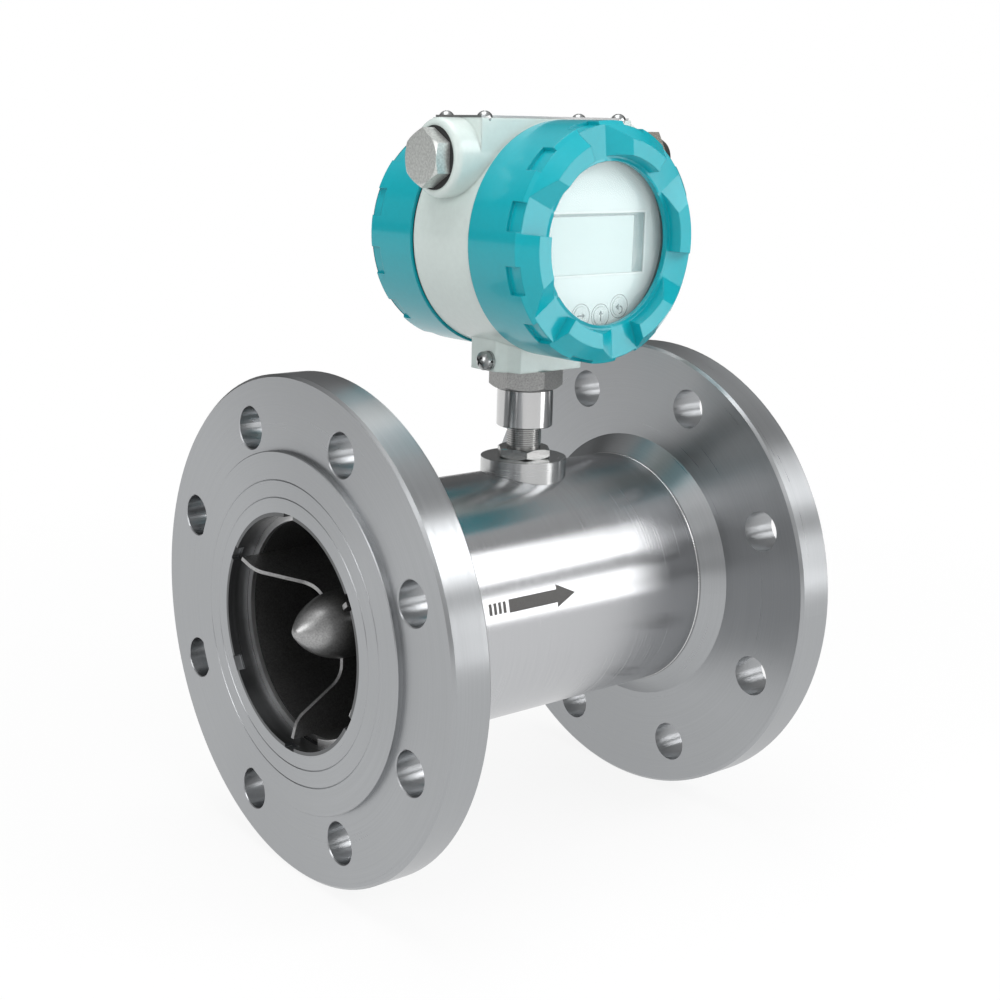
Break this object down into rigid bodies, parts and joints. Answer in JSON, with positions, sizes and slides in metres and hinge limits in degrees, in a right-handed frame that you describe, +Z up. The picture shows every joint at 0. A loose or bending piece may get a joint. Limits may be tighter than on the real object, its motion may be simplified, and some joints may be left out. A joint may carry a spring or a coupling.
{
  "type": "turbine flow meter",
  "caption": "Flanged turbine flow meter with a bladed rotor on guide vanes, a stem-mounted magnetic pickup and a round two-cover display head.",
  "frame": {"origin": "centre of the inlet flange's raised face, on the pipe axis", "axes": "+X along the pipe axis in the flow direction, +Z up through the stem, the display faces -Y"},
  "size_m": [0.22, 0.22, 0.3267],
  "materials": {
    "flange_steel": "lathe-turned stainless steel, fine concentric lay",
    "tube_steel": "drawn and polished stainless tube",
    "blasted_steel": "sand-blasted stainless steel",
    "bright_steel": "bright turned stainless steel",
    "rotor_steel": "magnetic stainless steel, machined",
    "carbide": "ground hard metal",
    "bearing_plastic": "filled bearing plastic",
    "coil_copper": "enamelled copper winding",
    "magnet_nickel": "nickel-plated magnet",
    "housing_paint": "pale grey-green enamel on die-cast aluminium",
    "cover_paint": "glossy teal enamel on die-cast aluminium",
    "seal_rubber": "black nitrile rubber",
    "window_glass": "clear toughened glass",
    "ring_aluminium": "anodised aluminium",
    "display_film": "pale overlay film",
    "lcd": "grey-green liquid crystal glass",
    "module_plastic": "moulded module frame",
    "key_plastic": "moulded key caps",
    "switch_plastic": "moulded switch",
    "circuit_board": "solder-masked laminate",
    "spacer_brass": "turned brass",
    "terminal_plastic": "moulded terminal block",
    "plated_steel": "plated steel screws",
    "plate_steel": "brushed sheet stainless steel",
    "plug_steel": "nickel-plated plug",
    "gland_nickel": "nickel-plated brass"
  },
  "bodies": {
    "meter": {"meter_tube": "tube_steel", "inlet_flange": "flange_steel", "outlet_flange": "flange_steel", "inlet_guide": "blasted_steel", "outlet_guide": "blasted_steel", "inlet_clip": "bright_steel", "outlet_clip": "bright_steel", "inlet_bearing": "bearing_plastic", "outlet_bearing": "bearing_plastic", "inlet_thrust_pad": "carbide", "outlet_thrust_pad": "carbide", "sensor_boss": "bright_steel", "pickup_tube": "bright_steel", "pickup_coil": "coil_copper", "pickup_magnet": "magnet_nickel", "pickup_lock_nut": "bright_steel", "stem_sleeve": "bright_steel", "stem_clip": "plated_steel"},
    "rotor": {"rotor": "rotor_steel", "rotor_shaft": "carbide"},
    "head": {"stem_adapter": "blasted_steel", "housing": "housing_paint", "display_plate": "display_film", "lcd_glass": "lcd", "lcd_module": "module_plastic", "key_switches": "switch_plastic", "display_board": "circuit_board", "main_board": "circuit_board", "display_spacers": "spacer_brass", "board_pillars": "spacer_brass", "terminal_block": "terminal_plastic", "terminal_screws": "plated_steel", "top_plate": "plate_steel", "top_plate_screws": "plated_steel", "earth_washer": "plated_steel", "earth_spring_washer": "plated_steel", "earth_screw": "plated_steel", "plug_gasket": "seal_rubber", "gland_gasket": "seal_rubber", "blanking_plug": "plug_steel", "gland_body": "gland_nickel", "gland_nut": "gland_nickel", "gland_seal": "seal_rubber"},
    "front_seal": {"front_cover_seal": "seal_rubber"},
    "front_cover": {"front_cover": "cover_paint", "window_gasket": "seal_rubber", "window_glass": "window_glass", "window_ring": "ring_aluminium"},
    "rear_seal": {"rear_cover_seal": "seal_rubber"},
    "rear_cover": {"rear_cover": "cover_paint"},
    "key_1": {"key_1": "key_plastic"},
    "key_2": {"key_2": "key_plastic"},
    "key_3": {"key_3": "key_plastic"}
  },
  "joints": [
    {"name": "rotor_spin", "type": "hinge", "parent": "meter", "child": "rotor", "pos_m": [0.128, 0, 0], "axis": [1, 0, 0], "continuous": true},
    {"name": "head_swivel", "type": "hinge", "parent": "meter", "child": "head", "pos_m": [0.128, 0, 0.1], "axis": [0, 0, 1], "range_deg": [-165, 165]},
    {"name": "front_cover_lift", "type": "slide", "parent": "head", "child": "front_seal", "axis": [0, -1, 0], "range_m": [0, 0.01]},
    {"name": "front_cover_turn", "type": "hinge", "parent": "front_seal", "child": "front_cover", "pos_m": [0.128, 0, 0.1628], "axis": [0, -1, 0], "range_deg": [0, 1800]},
    {"name": "rear_cover_lift", "type": "slide", "parent": "head", "child": "rear_seal", "axis": [0, 1, 0], "range_m": [0, 0.01]},
    {"name": "rear_cover_turn", "type": "hinge", "parent": "rear_seal", "child": "rear_cover", "pos_m": [0.128, 0, 0.1628], "axis": [0, 1, 0], "range_deg": [0, 1800]},
    {"name": "key_1_press", "type": "slide", "parent": "head", "child": "key_1", "axis": [0, 1, 0], "range_m": [0, 0.0006], "stiffness_N_per_m": 800},
    {"name": "key_2_press", "type": "slide", "parent": "head", "child": "key_2", "axis": [0, 1, 0], "range_m": [0, 0.0006], "stiffness_N_per_m": 800},
    {"name": "key_3_press", "type": "slide", "parent": "head", "child": "key_3", "axis": [0, 1, 0], "range_m": [0, 0.0006], "stiffness_N_per_m": 800}
  ],
  "couplings": [
    {"joint": "front_cover_lift", "follows": "front_cover_turn", "m_per_rad": 0.00031831},
    {"joint": "rear_cover_lift", "follows": "rear_cover_turn", "m_per_rad": 0.00031831}
  ]
}
